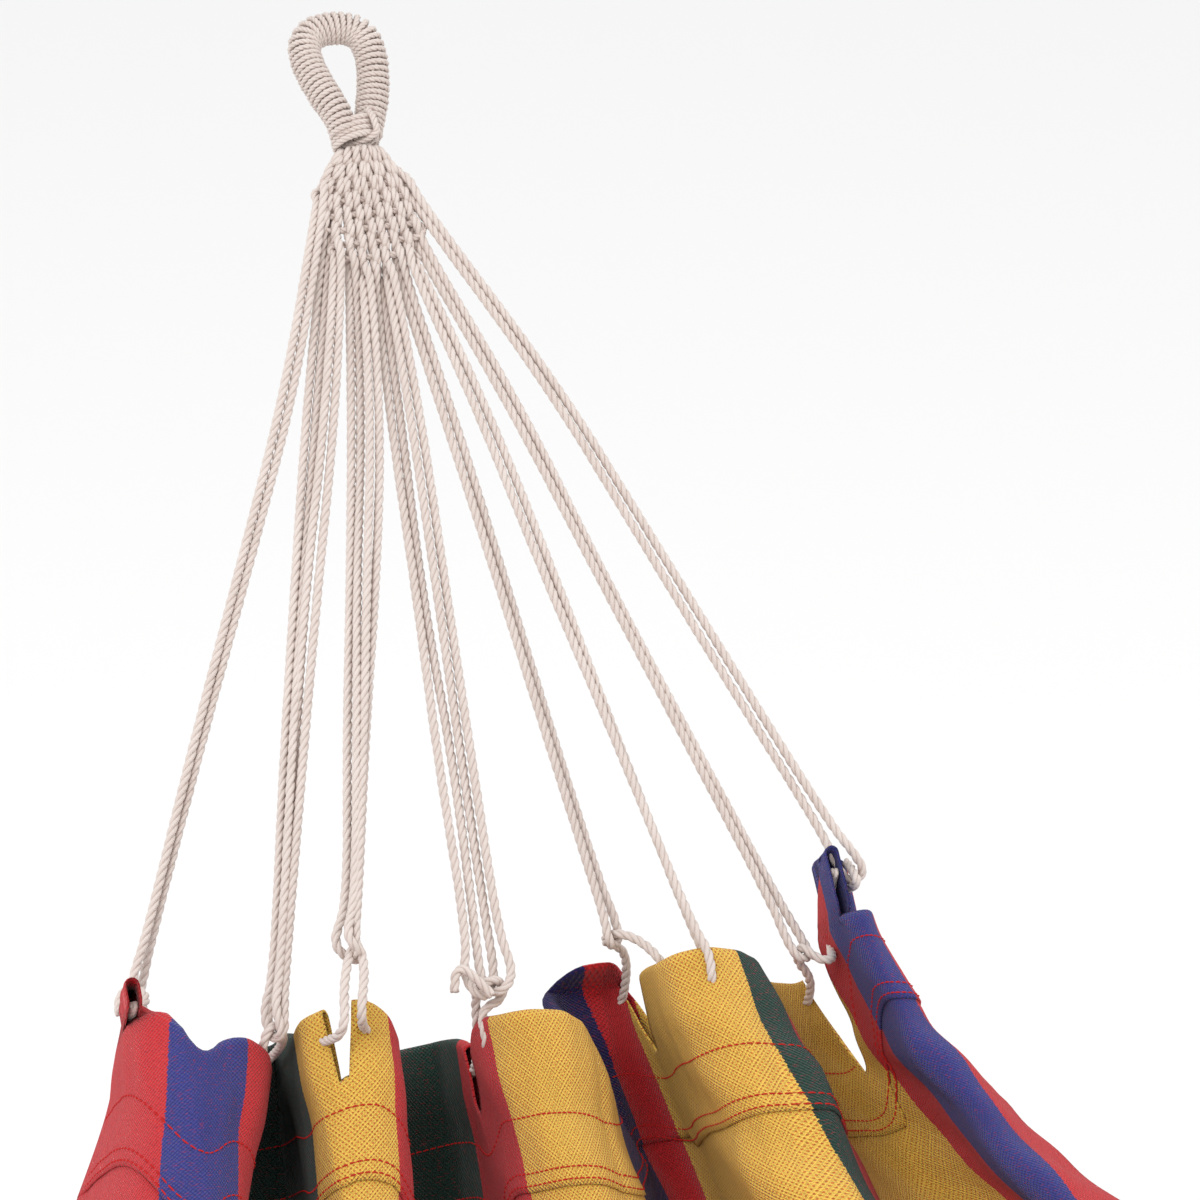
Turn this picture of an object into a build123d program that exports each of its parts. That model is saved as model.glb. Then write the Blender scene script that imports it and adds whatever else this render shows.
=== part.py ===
from build123d import *
from math import asinh, atan, atan2, cos, cosh, degrees, pi, radians, sin, tan
import os

# A striped cotton hammock hung by rope clews from two hooks.
# Each end has a wrapped rope eye, a throat seizing, a woven clew mat and eleven doubled
# cords, each looped round the cord that runs through the hem of the cloth.
# The origin is the seat of the hook in the head eye. +X runs to the foot end, +Z is up.
# The pieces are made at the head end, in a frame with x across the cloth, y towards the
# inside of the bed and z down the pull of the cords, so a place is (across, inside, down).
# The foot end is the head end mirrored about the middle of the bed.

# Driving dimensions, in millimetres and degrees.
PULL_SLOPE = 44.0  # of the cords below the horizontal
CLOTH_LENGTH = 2000.0
CLOTH_THICKNESS = 5.0
SEAT_TO_CLOTH = 560.0  # down the pull, from the hook seat to the full width of the cloth
TAB_HEIGHT = 32.0  # mean height of the hem tabs above that line
TROUGH_ARC = 180.0  # what the cloth turns through, edge to edge, at the middle of the bed
PLEATS_END = 0.80  # share of the half length over which the gathers open out
EARLY_OPENING = 0.22  # share of the opening that starts at once, at the hem
FAINTEST_FOLDS = 0.03  # what is left of the gathers at the middle of the bed

CORD_RADIUS = 2.5
LOOP_CLEARANCE = 0.2
HEM_THICKNESS = 9.0
BORE_CLEARANCE = 0.3
KNOT_RADIUS = 6.0

EYE_CORE_RADIUS = 4.8
EYE_WRAP_BORE = 5.0
EYE_WRAP_RADIUS = 9.5
THROAT_RADIUS = 12.3
THROAT_TOP = 48.5
THROAT_STEP = 54.4  # the eye's legs stop here and the ball's socket starts
THROAT_END = 67.0
LEG_SOCKET_RADIUS = 10.1
BALL_RADIUS = 7.5
SOCKET_RADIUS = 7.8
NECK_DOWN = 62.0  # centre of the ball, where the clew turns in the throat
NECK_RADIUS = 4.5

MAT_THICKNESS = 11.0
MAT_EDGE = 2.0
CORD_GRIP = 4.0  # how far each cord runs into the mat

# Folds of the gathered hem, from the left edge: width, height of the cloth towards the inside
# of the bed, and the hem cord's height and how far down it lies.
LEFT_EDGE = (-205.0, -35.0, 512.0)
RIGHT_EDGE = (-8.0, 486.0)  # height and down
FOLDS = [
    (65.0, 44.0, 44.0, 538.0),
    (32.0, -48.0, -48.0, 534.0),
    (46.0, 44.0, 44.0, 543.0),
    (48.0, -48.0, -48.0, 535.0),
    (60.0, 44.0, 44.0, 552.0),
    (34.0, -48.0, -14.0, 514.0),
    (42.0, 44.0, 44.0, 535.0),
    (60.0, -40.0, -40.0, 524.0),
    (20.0, 32.0, 32.0, 494.0),
]

# Each doubled cord: where it leaves the mat (across, down), where it bends on its way
# (across, down), and how far along the hem cord it loops round it.
CORDS = [
    ((-26.0, 90.0), (-61.0, 201.0), 12.5),
    ((-25.0, 108.0), (-52.0, 215.0), 193.5),
    ((-22.5, 124.0), (-44.0, 222.0), 175.5),
    ((-15.5, 133.0), (-30.0, 228.0), 335.5),
    ((-9.5, 139.0), (-21.0, 232.0), 342.0),
    ((-3.0, 142.5), (-9.0, 236.0), 490.5),
    ((3.5, 142.0), (1.0, 236.0), 497.0),
    ((11.0, 138.0), (21.0, 232.0), 685.5),
    ((17.5, 131.0), (38.0, 228.0), 817.0),
    ((23.0, 116.0), (57.0, 224.0), 879.0),
    ((25.5, 95.0), (78.0, 216.0), -12.0),
]
# Cut-outs in the hem, where cords reach the hem cord: how far along it, length and width.
CUTOUTS = [
    (184.5, 38.0, 19.0),
    (338.5, 26.0, 19.0),
    (494.0, 26.0, 19.0),
    (685.5, 44.0, 80.0),
    (817.0, 18.0, 19.0),
    (879.0, 18.0, 19.0),
]
KNOT_REACH = 22.0  # how far the hem cord runs past the edges of the cloth
HEM_ARC_SHARE = 0.49  # of a fold's width, in the arcs of the hem cord
LOOP_SHARE = 0.49  # of the run under the hem cord, in the arcs of a cord's loop
HEM_TOP = 440.0  # the hem is drawn from here and then trimmed to its line
HEM_LAP = 1.0  # of the hem past its two ends
HEM_REACH = 100.0  # further than the folds stand out, either way
STRAIGHT = 1e-6  # radians: less turn than this is a straight line
TAB_ABOVE_CORD = 8.0
BED_STATIONS = [-1.0, -0.9, -0.75, -0.55, -0.3, 0.0, 0.3, 0.55, 0.75, 0.9, 1.0]

# The left half of the eye's centre line, from the throat up (across, down), and its radii.
EYE_LEFT = [(-5.0, 54.0), (-5.0, 47.0), (-10.5, 37.0), (-15.5, 26.0), (-20.5, -9.5)]
EYE_RADII = [6.0, 8.0, 30.0, 17.0]
EYE_WRAPPED = [(-11.4, 35.0), (-15.5, 26.0), (-20.5, -9.5)]
# The left half of the mat's outline, from its neck down (across, down).
MAT_LEFT = [(-9.0, 73.0), (-17.0, 78.0), (-28.0, 88.0), (-27.5, 110.0), (-24.0, 127.0), (-12.0, 140.0)]
MAT_LEFT += [(-2.0, 146.0)]

ROPE_COLOUR = (0.87, 0.82, 0.78)
CLOTH_COLOUR = (0.80, 0.25, 0.25)

# Worked out from the dimensions above.
HALF_ARC = CLOTH_LENGTH / 2 - TAB_HEIGHT
CATENARY = HALF_ARC / tan(radians(PULL_SLOPE))
HALF_BED = CATENARY * asinh(HALF_ARC / CATENARY)
SPAN = 2 * (HALF_BED + SEAT_TO_CLOTH * cos(radians(PULL_SLOPE)))
BED_TOP = -SEAT_TO_CLOTH * sin(radians(PULL_SLOPE))
BED_LOW = BED_TOP - CATENARY * (cosh(HALF_BED / CATENARY) - 1)

PULL = Vector(cos(radians(PULL_SLOPE)), 0, -sin(radians(PULL_SLOPE)))
HEAD = Plane(origin=(0, 0, 0), x_dir=(0, 1, 0), z_dir=PULL)
FLAT = Plane(origin=(0, 0, 0), x_dir=(0, 1, 0), z_dir=-HEAD.y_dir)  # its y is down the pull
MIDDLE = Plane(origin=(SPAN / 2, 0, 0), z_dir=(1, 0, 0))


def placed(across, inside, down):
    """A point given in the head end's frame."""
    return HEAD.from_local_coords(Vector(across, inside, down))


def corner_radii(points, share=0.45):
    """The radius of a route's arc at each inner point, as large as its two runs allow."""
    radii = []
    for before, here, after in zip(points, points[1:], points[2:]):
        run_in = Vector(here) - Vector(before)
        run_out = Vector(after) - Vector(here)
        half_turn = radians(run_in.get_angle(run_out)) / 2
        radii.append(share * min(run_in.length, run_out.length) / tan(half_turn))
    return radii


def tube(points, radii, radius, bore=0.0):
    """A round tube along straight runs joined by tangent arcs, hollow where it has a bore."""
    with BuildPart() as made:
        with BuildLine() as line:
            FilletPolyline(*points, radius=radii)
        with BuildSketch(Plane(origin=line.line @ 0, z_dir=line.line % 0)):
            Circle(radius)
            if bore > 0:
                Circle(bore, mode=Mode.SUBTRACT)
        sweep(path=line.line)
    return made.part, line.wires()[0].length


def write(part, name, colour):
    """Labels a finished piece and writes its file."""
    part.label = name
    part.color = Color(*colour)
    export_step(part, f"parts/{name}.step")


def write_pair(part, name):
    """Writes a rope piece of the head end and its twin at the foot end."""
    with BuildPart() as twin:
        mirror(part, about=MIDDLE)
    write(part, f"head_{name}", ROPE_COLOUR)
    write(twin.part, f"foot_{name}", ROPE_COLOUR)


def gather_spans():
    """The gathered cloth as a chain of arcs: length, first direction and last direction."""
    height = LEFT_EDGE[1]
    angle = 90.0
    spans = []
    for width, top, _, _ in FOLDS:
        spans.append((abs(top - height) - width / 2, angle, angle))
        spans.append((pi * width / 2, angle, -angle))
        height = top - width / 2 if top > height else top + width / 2
        angle = -angle
    spans.append((abs(height - RIGHT_EDGE[0]), angle, angle))
    return spans


GATHER = gather_spans()
CLOTH_WIDTH = sum(span[0] for span in GATHER)


def section_spans(gathered):
    """The cloth's arcs, from fully gathered (1) to an open trough (0)."""
    trough = TROUGH_ARC * (1 - gathered**3)
    spans = []
    done = 0.0
    for length, first, last in GATHER:
        open_first = trough * (done / CLOTH_WIDTH - 0.5)
        done += length
        open_last = trough * (done / CLOTH_WIDTH - 0.5)
        start = radians(gathered * first + open_first)
        finish = radians(gathered * last + open_last)
        spans.append((length, start, finish))
    return spans


def walk(spans):
    """Places and directions at the ends and middles of a chain of arcs."""
    x, y = LEFT_EDGE[:2]
    places = [(x, y, spans[0][1])]
    for length, first, last in spans:
        quarter = (last - first) / 4
        chord = length / 2 * (sin(quarter) / quarter if quarter else 1.0)
        for middle in (first + quarter, last - quarter):
            x += chord * cos(middle)
            y += chord * sin(middle)
            places.append((x, y, middle + quarter))
    return places


def centre_of(places, spans):
    """The mean place along a chain of arcs."""
    x, y = 0.0, 0.0
    for i, (length, _, _) in enumerate(spans):
        first, middle, last = places[2 * i : 2 * i + 3]
        x += length * (first[0] + 4 * middle[0] + last[0]) / 6
        y += length * (first[1] + 4 * middle[1] + last[1]) / 6
    return x / CLOTH_WIDTH, y / CLOTH_WIDTH


GATHER_CENTRE = centre_of(walk(section_spans(1.0)), section_spans(1.0))


def section(gathered):
    """The cloth's section about the line that the bed hangs in."""
    spans = section_spans(gathered)
    places = walk(spans)
    middle, level = centre_of(places, spans)
    shift_x = gathered * GATHER_CENTRE[0] - middle
    shift_y = gathered * GATHER_CENTRE[1] - level
    return [(x + shift_x, y + shift_y, angle) for x, y, angle in places]


def beside(places, reach):
    """The places moved sideways off their line."""
    return [(x - sin(angle) * reach, y + cos(angle) * reach) for x, y, angle in places]


def cloth_face(plane, places, thickness):
    """The cloth's closed section on a plane, half a thickness either side of its line."""
    upper = beside(places, thickness / 2)
    lower = beside(places, -thickness / 2)
    with BuildSketch(plane) as face:
        with BuildLine():
            for i in range(0, len(places) - 2, 2):
                straight = abs(places[i + 2][2] - places[i][2]) < STRAIGHT
                for side in (upper, lower):
                    if straight:
                        Line(side[i], side[i + 2])
                    else:
                        ThreePointArc(side[i], side[i + 1], side[i + 2])
            Line(upper[0], lower[0])
            Line(upper[-1], lower[-1])
        make_face()
    return face.sketch


def bed_station(distance):
    """The plane across the bed at a distance along it from the middle, square to its run."""
    x = CATENARY * asinh(distance / CATENARY)
    z = BED_LOW + CATENARY * (cosh(x / CATENARY) - 1)
    slope = atan(distance / CATENARY)
    return Plane(origin=(SPAN / 2 + x, 0, z), x_dir=(0, 1, 0), z_dir=(cos(slope), 0, sin(slope)))


def gathered_at(distance):
    """How gathered the cloth is: 1 at the hems, easing to faint folds at the middle."""
    share = min((1 - abs(distance) / HALF_ARC) / PLEATS_END, 1.0)
    eased = share * share * (3 - 2 * share)
    opened = eased + EARLY_OPENING * (sin(share * pi / 2) - eased)
    return 1 - (1 - FAINTEST_FOLDS) * opened


def hem_cord_points():
    """The hem cord, up and down through the folds of the hem, and its arcs' radii."""
    x, y, z = LEFT_EDGE
    points = [(x, y - KNOT_REACH, z)]
    for width, _, height, down in FOLDS:
        points += [(x, height, down), (x + width, height, down)]
        x += width
    points.append((x, RIGHT_EDGE[0] - KNOT_REACH, RIGHT_EDGE[1]))
    radii = [HEM_ARC_SHARE * fold[0] for fold in FOLDS for _ in range(2)]
    return points, radii


with BuildLine() as hem_line:
    FilletPolyline(*hem_cord_points()[0], radius=hem_cord_points()[1])
HEM_WIRE = hem_line.wires()[0]


def on_hem_cord(distance):
    """The place and direction at a distance along the hem cord, from its far end if negative."""
    share = (distance if distance > 0 else HEM_WIRE.length + distance) / HEM_WIRE.length
    return HEM_WIRE @ share, HEM_WIRE % share


def cord_points(cord, layer):
    """A doubled cord: down one leg, round the hem cord and back up the other leg."""
    (top_x, top_z), (knee_x, knee_z), distance = cord
    half = CORD_RADIUS + LOOP_CLEARANCE
    height = layer * half
    centre, along = on_hem_cord(distance)
    up = Vector(knee_x, height, knee_z) - centre
    up = (up - along * up.dot(along)).normalized()
    side = along.cross(up)
    if side.X > 0:
        side = -side
    reach = 2 * CORD_RADIUS + LOOP_CLEARANCE
    legs = []
    for sign in (1, -1):
        top = Vector(top_x - sign * half, height, top_z)
        knee = Vector(knee_x - sign * half, height, knee_z)
        start = top + (top - knee).normalized() * CORD_GRIP
        legs.append([start, knee, centre + side * (sign * reach) - up * reach])
    return legs[0] + legs[1][::-1]


def build_eye():
    """The wrapped rope eye, and the whipping that closes its throat."""
    left = [placed(x, 0, z) for x, z in EYE_LEFT]
    right = [placed(-x, 0, z) for x, z in EYE_LEFT[::-1]]
    core, _ = tube(left + right, EYE_RADII + EYE_RADII[::-1], EYE_CORE_RADIUS)
    write_pair(core, "eye_core")

    left = [placed(x, 0, z) for x, z in EYE_WRAPPED]
    right = [placed(-x, 0, z) for x, z in EYE_WRAPPED[::-1]]
    wrap_radii = EYE_RADII[2:] + EYE_RADII[:1:-1]
    wrap, _ = tube(left + right, wrap_radii, EYE_WRAP_RADIUS, EYE_WRAP_BORE)
    write_pair(wrap, "eye_wrap")

    with BuildPart() as throat_seizing:
        with BuildSketch(HEAD.offset(THROAT_TOP)):
            Circle(THROAT_RADIUS)
        extrude(amount=THROAT_END - THROAT_TOP)
        with BuildSketch(HEAD.offset(THROAT_TOP)):
            Circle(LEG_SOCKET_RADIUS)
        extrude(amount=THROAT_STEP - THROAT_TOP, mode=Mode.SUBTRACT)
        with BuildSketch(HEAD.offset(THROAT_STEP)):
            Circle(SOCKET_RADIUS)
        extrude(amount=THROAT_END - THROAT_STEP, mode=Mode.SUBTRACT)
    write_pair(throat_seizing.part, "throat_seizing")


def build_mat():
    """The woven mat of the clew, with the ball at its top that turns in the throat."""
    with BuildPart() as clew_mat:
        with BuildSketch(FLAT):
            with BuildLine():
                Polyline(*MAT_LEFT, *[(-x, z) for x, z in MAT_LEFT[::-1]], close=True)
            make_face()
        extrude(amount=MAT_THICKNESS / 2, both=True)
        fillet(clew_mat.edges().group_by(Axis(HEAD.origin, HEAD.y_dir))[-1], radius=MAT_EDGE)
        with BuildSketch(HEAD.offset(NECK_DOWN)):
            Circle(NECK_RADIUS)
        extrude(amount=MAT_LEFT[0][1] + MAT_EDGE - NECK_DOWN)
        with BuildSketch(Plane(origin=placed(0, 0, NECK_DOWN), x_dir=FLAT.x_dir, z_dir=FLAT.z_dir)):
            with BuildLine():
                ball_arc = CenterArc((0, 0), BALL_RADIUS, -90, 180)
                Line(ball_arc @ 0, ball_arc @ 1)
            make_face()
        revolve(axis=Axis(placed(0, 0, NECK_DOWN), PULL))
    write_pair(clew_mat.part, "clew_mat")


def build_cords():
    """The doubled cords and the hem cord of one end. Returns the hem cord's tunnel."""
    for number, cord in enumerate(CORDS, start=1):
        layer = 1 if number % 2 else -1
        points = [placed(*point) for point in cord_points(cord, layer)]
        radii = corner_radii(points)
        radii[1] = radii[2] = min(corner_radii(points, LOOP_SHARE)[1:3])
        made, length = tube(points, radii, CORD_RADIUS)
        report(f"cord_{number}", made, length, radii)
        write_pair(made, f"cord_{number}")

    route, radii = hem_cord_points()
    points = [placed(*point) for point in route]
    made, length = tube(points, radii, CORD_RADIUS)
    report("hem_cord", made, length, radii)
    with BuildPart() as hem_cord:
        add(made)
        for knot in (points[0], points[-1]):
            with BuildSketch(Plane(origin=knot, x_dir=HEAD.x_dir, z_dir=HEAD.z_dir)):
                with BuildLine():
                    knot_arc = CenterArc((0, 0), KNOT_RADIUS, -90, 180)
                    Line(knot_arc @ 0, knot_arc @ 1)
                make_face()
            revolve(axis=Axis(knot, HEAD.y_dir))
    write_pair(hem_cord.part, "hem_cord")
    return tube(points, radii, CORD_RADIUS + BORE_CLEARANCE)[0]


def report(name, made, length, radii):
    """Prints a cord's length, its radii and how its volume compares with section times length."""
    share = made.volume / (pi * CORD_RADIUS**2 * length)
    print(f"{name}: {length:.0f} mm, volume {share:.4f}, radii", [round(r, 1) for r in radii])


def tab_tops():
    """The stretches of hem, one for each fold, and the level of the tab on each."""
    steps = []
    first = LEFT_EDGE[0] - HEM_THICKNESS
    last = LEFT_EDGE[0]
    for i, (width, _, _, down) in enumerate(FOLDS):
        last += width
        reach = HEM_THICKNESS if i == len(FOLDS) - 1 else 0
        steps.append((first, last + reach, down - TAB_ABOVE_CORD))
        first = last
    return steps


def build_bed(tunnel):
    """The cloth: a lofted bed with doubled hems, notched where cords reach the hem cord."""
    with BuildPart() as head_half:
        for share in BED_STATIONS:
            distance = share * HALF_ARC
            places = section(gathered_at(distance))
            add(cloth_face(bed_station(distance), places, CLOTH_THICKNESS))
        loft()
        split(bisect_by=MIDDLE, keep=Keep.BOTTOM)
        add(cloth_face(HEAD.offset(HEM_TOP), section(1.0), HEM_THICKNESS))
        extrude(amount=SEAT_TO_CLOTH + HEM_LAP - HEM_TOP, dir=PULL)
        with BuildSketch(FLAT):
            for first, last, level in tab_tops():
                with Locations(((first + last) / 2, (HEM_TOP - HEM_LAP + level) / 2)):
                    Rectangle(last - first, level - HEM_TOP + HEM_LAP)
        extrude(amount=HEM_REACH, both=True, mode=Mode.SUBTRACT)
        for distance, length, width in CUTOUTS:
            place, along = on_hem_cord(distance)
            with BuildSketch(HEAD.offset(HEM_TOP)):
                with Locations((place.X, place.Y)):
                    Rectangle(length, width, rotation=degrees(atan2(along.Y, along.X)))
            extrude(amount=place.Z + HEM_THICKNESS - HEM_TOP, mode=Mode.SUBTRACT)
        add(tunnel, mode=Mode.SUBTRACT)
    with BuildPart() as bed_cloth:
        add(head_half.part)
        mirror(about=MIDDLE)
    write(bed_cloth.part, "bed_cloth", CLOTH_COLOUR)
    print(f"bed_cloth: {CLOTH_WIDTH:.0f} mm wide, span {SPAN:.0f} mm, lowest line {BED_LOW:.0f} mm")


os.makedirs("parts", exist_ok=True)
build_eye()
build_mat()
build_bed(build_cords())
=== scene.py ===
import math

import bpy
import numpy as np
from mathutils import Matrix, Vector


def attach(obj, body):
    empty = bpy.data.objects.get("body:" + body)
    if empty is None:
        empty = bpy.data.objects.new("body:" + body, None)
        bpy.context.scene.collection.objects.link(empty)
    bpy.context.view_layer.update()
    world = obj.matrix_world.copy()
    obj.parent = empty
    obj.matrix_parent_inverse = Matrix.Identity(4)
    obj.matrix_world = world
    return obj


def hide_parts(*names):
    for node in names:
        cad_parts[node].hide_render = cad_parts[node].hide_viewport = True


# The looks of a striped cotton hammock hung by rope clews from two hooks.
# Lengths are in millimetres until a mesh is made. The head end is drawn in a frame with x
# across the cloth, y towards the inside of the bed and z down the pull of the cords.
# The foot end is the head end mirrored about the middle of the bed.

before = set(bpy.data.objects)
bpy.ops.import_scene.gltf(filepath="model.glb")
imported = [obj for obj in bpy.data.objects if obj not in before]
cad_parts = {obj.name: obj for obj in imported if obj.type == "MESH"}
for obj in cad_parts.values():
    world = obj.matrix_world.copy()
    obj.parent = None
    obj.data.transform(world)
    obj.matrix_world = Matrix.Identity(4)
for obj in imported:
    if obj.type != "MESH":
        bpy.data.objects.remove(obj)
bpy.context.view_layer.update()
rng = np.random.default_rng(7)

# ---- the object's driving dimensions ----
PULL_SLOPE = math.radians(44.0)
SEAT_TO_CLOTH = 560.0
HALF_ARC = 968.0
TROUGH_ARC = math.radians(180.0)
PLEATS_END = 0.80
EARLY_OPENING = 0.22
HEM_RISE = 38.0  # how far above the hem line the gathers start to open
FAINTEST_FOLDS = 0.03
CATENARY = HALF_ARC / math.tan(PULL_SLOPE)
HALF_BED = CATENARY * math.asinh(HALF_ARC / CATENARY)
SPAN = 2 * (HALF_BED + SEAT_TO_CLOTH * math.cos(PULL_SLOPE))
BED_TOP = -SEAT_TO_CLOTH * math.sin(PULL_SLOPE)
BED_LOW = BED_TOP - CATENARY * (math.cosh(HALF_BED / CATENARY) - 1)
NECK_DOWN = 62.0

# Folds of the gathered cloth from its left edge: width, and height towards the inside.
LEFT_EDGE = (-205.0, -35.0)
RIGHT_EDGE = -8.0
FOLDS = [(65, 44), (32, -48), (46, 44), (48, -48), (60, 44), (34, -48), (42, 44), (60, -40), (20, 32)]

# The level of the hem's top edge, down the pull, against the place across the cloth.
HEM_TOPS = [
    (0, 512), (20, 508), (50, 509), (66, 517), (77, 530), (86, 546), (95, 558), (103, 551),
    (118, 544), (135, 555), (150, 556), (170, 546), (186, 536), (214, 531), (240, 530),
    (262, 535), (285, 543), (300, 540), (312, 540), (332, 536), (345, 542), (358, 553),
    (368, 557), (396, 553), (412, 550), (450, 542), (470, 543), (484, 548), (500, 560),
    (512, 558), (526, 548), (545, 553), (590, 557), (610, 561), (628, 558), (642, 552),
    (655, 545), (672, 526), (688, 519), (702, 525), (722, 532), (745, 531), (775, 537),
    (800, 537), (816, 539), (835, 542), (862, 547), (880, 543), (900, 541), (925, 544),
    (940, 538), (955, 520), (970, 502), (985, 492), (1000, 488), (1016, 490), (1040, 494),
    (1060, 494),
]
# Notches in the hem: the middle of each across the cloth, its width at the top and at the
# bottom, and the level of its bottom.
NOTCHES = [(175, 20, 6, 570), (323, 13, 4, 576), (500, 20, 7, 590), (722, 38, 5, 572), (942, 30, 12, 592)]

# How far the folds of the hem sit from their even places: place across, and shift.
DRIFT = [
    (-205, 8), (-190, 13), (-165, 5), (-142, 12), (-138, 14), (-108, -7), (-84, -4), (-62, -8),
    (-38, 0), (-14, -10), (20, -20), (46, -24), (60, -6), (80, -9), (111, -12), (122, -10),
    (134, 5), (158, 0), (180, -8), (202, -18),
]
DRIFT_RUN = 260.0  # how far down the bed the folds come back to their even places

# Each doubled cord: where it leaves the mat (across, down), where it bends on its way, and
# the place and height of its loop (across, inside, down).
CORDS = [
    ((-26, 90), (-61, 201), (-190, -43, 502)),
    ((-25, 108), (-52, 215), (-131, 2, 541)),
    ((-22.5, 124), (-44, 222), (-130, 2, 542)),
    ((-15.5, 133), (-30, 228), (-93, 24, 515)),
    ((-9.5, 139), (-21, 232), (-86, 22, 512)),
    ((-3, 142.5), (-9, 236), (-25, -2, 537)),
    ((3.5, 142), (1, 236), (-15, -2, 537)),
    ((11, 138), (21, 232), (54, -24, 515)),
    ((17.5, 131), (38, 228), (90, 34, 548)),
    ((23, 116), (57, 224), (152, -26, 537)),
    ((25.5, 95), (78, 216), (185, -14, 501)),
]
CORD_RADIUS = 2.5
STRAND_SHARE = 0.54  # of the cord's radius, in one strand of three
LAY = 17.0  # along the cord for one turn of its strands
CORD_STEP = 1.4  # between the places read from a cord's smooth route
HEM_CORD_STEP = 1.5
HEM_POINT_STEP = 8.0  # between the hem cord's control points inside the hem
LEG_DRIFT = 1.0  # how far a leg's route wanders between its knee and its loop

CLOTH_THICKNESS = 1.2
NOTCH_PULL = 14.0  # how far from a notch the threads of the mesh are drawn towards it
HEM_STEP = 3.6
BED_ROWS = 110
STITCH = 3.2
THREAD_RADIUS = 0.42
THREAD_RISE = 0.5  # of a stitch, off the cloth and into it
THREAD_STEP = 0.8
SEAM_MARGIN = 5.0  # of cloth beside the first and last stitch
HEM_DEPTH = 88.0  # from the top edge to the bottom of the turned hem
TUNNEL_GAP = 6.6  # between the two layers where the hem cord runs
TUNNEL_DEPTH = 26.0
SEAM_ROWS = (52.0, 79.0, 85.0)  # rows of stitching, down from the top edge

# Stripes from the left edge: where each one ends, and its colour.
STRIPES = [
    (77, "red"), (116, "blue"), (170, "red"), (290, "green"), (346, "yellow"), (395, "red"),
    (480, "green"), (538, "red"), (628, "yellow"), (682, "shaded_navy"), (704, "red"), (816, "yellow"),
    (836, "green"), (868, "red"), (950, "yellow"), (974, "red"), (1018, "blue"), (1061, "red"),
]
DYES = {
    "red": (0.60, 0.034, 0.040),
    "blue": (0.045, 0.050, 0.235),
    # The navy stripe is a real dark dye, set darker still to stand for the shade inside the bed where it
    # lies: partly painted shade.
    "shaded_navy": (0.024, 0.020, 0.110),
    "green": (0.018, 0.052, 0.040),
    "yellow": (0.84, 0.53, 0.095),
}
STRIPE_WANDER = 2.4  # how far the edge of a stripe strays
DOT_PITCH = (2.6, 2.7)  # across and along, of the red dots in the yellow stripes
YARN_PITCH = (1.9, 2.1)
ROPE = (0.70, 0.63, 0.595)

# The wrapped eye's centre line from the throat round to the throat (across, inside, down).
EYE_LINE = [
    (-6, 3.5, 58), (-7, 4.5, 48), (-10.5, 4.0, 38), (-14.5, 2.5, 26), (-17.6, 0.5, 12),
    (-18.0, 0, 1), (-13.5, 0, -7.6), (0, 0, -10.8), (13.5, 0, -7.6), (18.0, 0, 1),
    (18.6, -0.5, 13), (17.0, -2.5, 26), (14.0, -4.0, 38), (10.5, -4.5, 48), (8, -3.5, 58),
]
WRAP_PITCH = 3.5
WRAP_CORD = 1.9  # radius of the cord that the eye is wrapped with
WRAP_RADIUS = 9.5
WRAP_LAY = 8.5
EYE_STEP = 0.8
EYE_BUNDLE_RADIUS = 6.2
# The whipping round the throat: turns, half width across and towards the inside, and depth.
BAND_TURNS = 4
BAND_ACROSS = 12.2
BAND_INSIDE = 9.6
BAND_DEPTH = 13.0
BAND_TILT = 0.13
BAND_CORD = 2.0
BAND_LAY = 9.0
BAND_STEP = 0.9
BAND_END = [(11.5, 9.0, 62), (10.5, 10.5, 56), (10.0, 9.5, 50), (9.0, 4.0, 44)]

# The hem cord: places in the hem as (across the cloth, level below the top edge), and
# places outside it as (across, inside, down).
HEM_ROUTE = [
    (-200, -36, 514), (-199, -44, 503), (-189, -44, 499), (-184, -36, 509), (10, 12), (40, 12),
    (62, 11), (80, 11), (104, 11), (130, 11), (146, 10), (-138, 0, 548), (-130, 4, 540),
    (-124, -10, 548), (200, 11), (220, 11), (240, 11), (262, 11), (284, 12), (314, 15),
    (-103, 38, 560), (-98, 30, 531), (-87, 22, 509), (-85, 28, 524), (-95, 40, 554), (334, 15),
    (368, 12), (396, 11), (424, 11), (453, 11), (488, 16), (-26, -24, 559), (-26, -14, 542),
    (-26, 0, 536), (-14, 0, 534), (-12, -8, 543), (-25, -12, 546), (-25, -8, 565), (514, 18),
    (526, 12), (545, 12), (567, 12), (592, 12), (620, 12), (650, 12), (678, 12), (702, 14),
    (65, -40, 519), (49, -30, 516), (54, -22, 513), (66, -16, 521), (74, -6, 540), (744, 13),
    (758, 12), (776, 12), (795, 12), (820, 12), (846, 12), (876, 12), (904, 12), (922, 13),
    (159, -42, 548), (149, -32, 539), (152, -24, 534), (157, -22, 543), (166, -22, 546),
    (962, 20), (980, 14), (1004, 12), (1034, 12), (184, -6, 512), (185, -14, 501),
    (186, -24, 494),
]
# The free end of the hem cord, tied off beside the green stripe.
TAIL_ROUTE = [(-21, 6, 544), (-29, 8, 533), (-34, 8, 528), (-38, 6, 531), (-39, 4, 539)]

# The mat: columns of doubled cords that change places, front to back, at each row of weft.
COLUMN_PITCH = 5.1
ROW_PITCH = 8.6
MAT_TOP = 70.0
WEAVE_REACH = 4.4
PAIR_HALF = 2.7
NECK_SHARE = 0.37
THROAT_TOP = 49.0
THROAT_END = 66.0
WEFT_RADIUS = 2.0
WEFT_LAY = 13.0
MAT_LEVELS = [70, 88, 108, 124, 134, 146]
MAT_HALF_WIDTHS = [13, 27.5, 27, 24, 17, 5]

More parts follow.
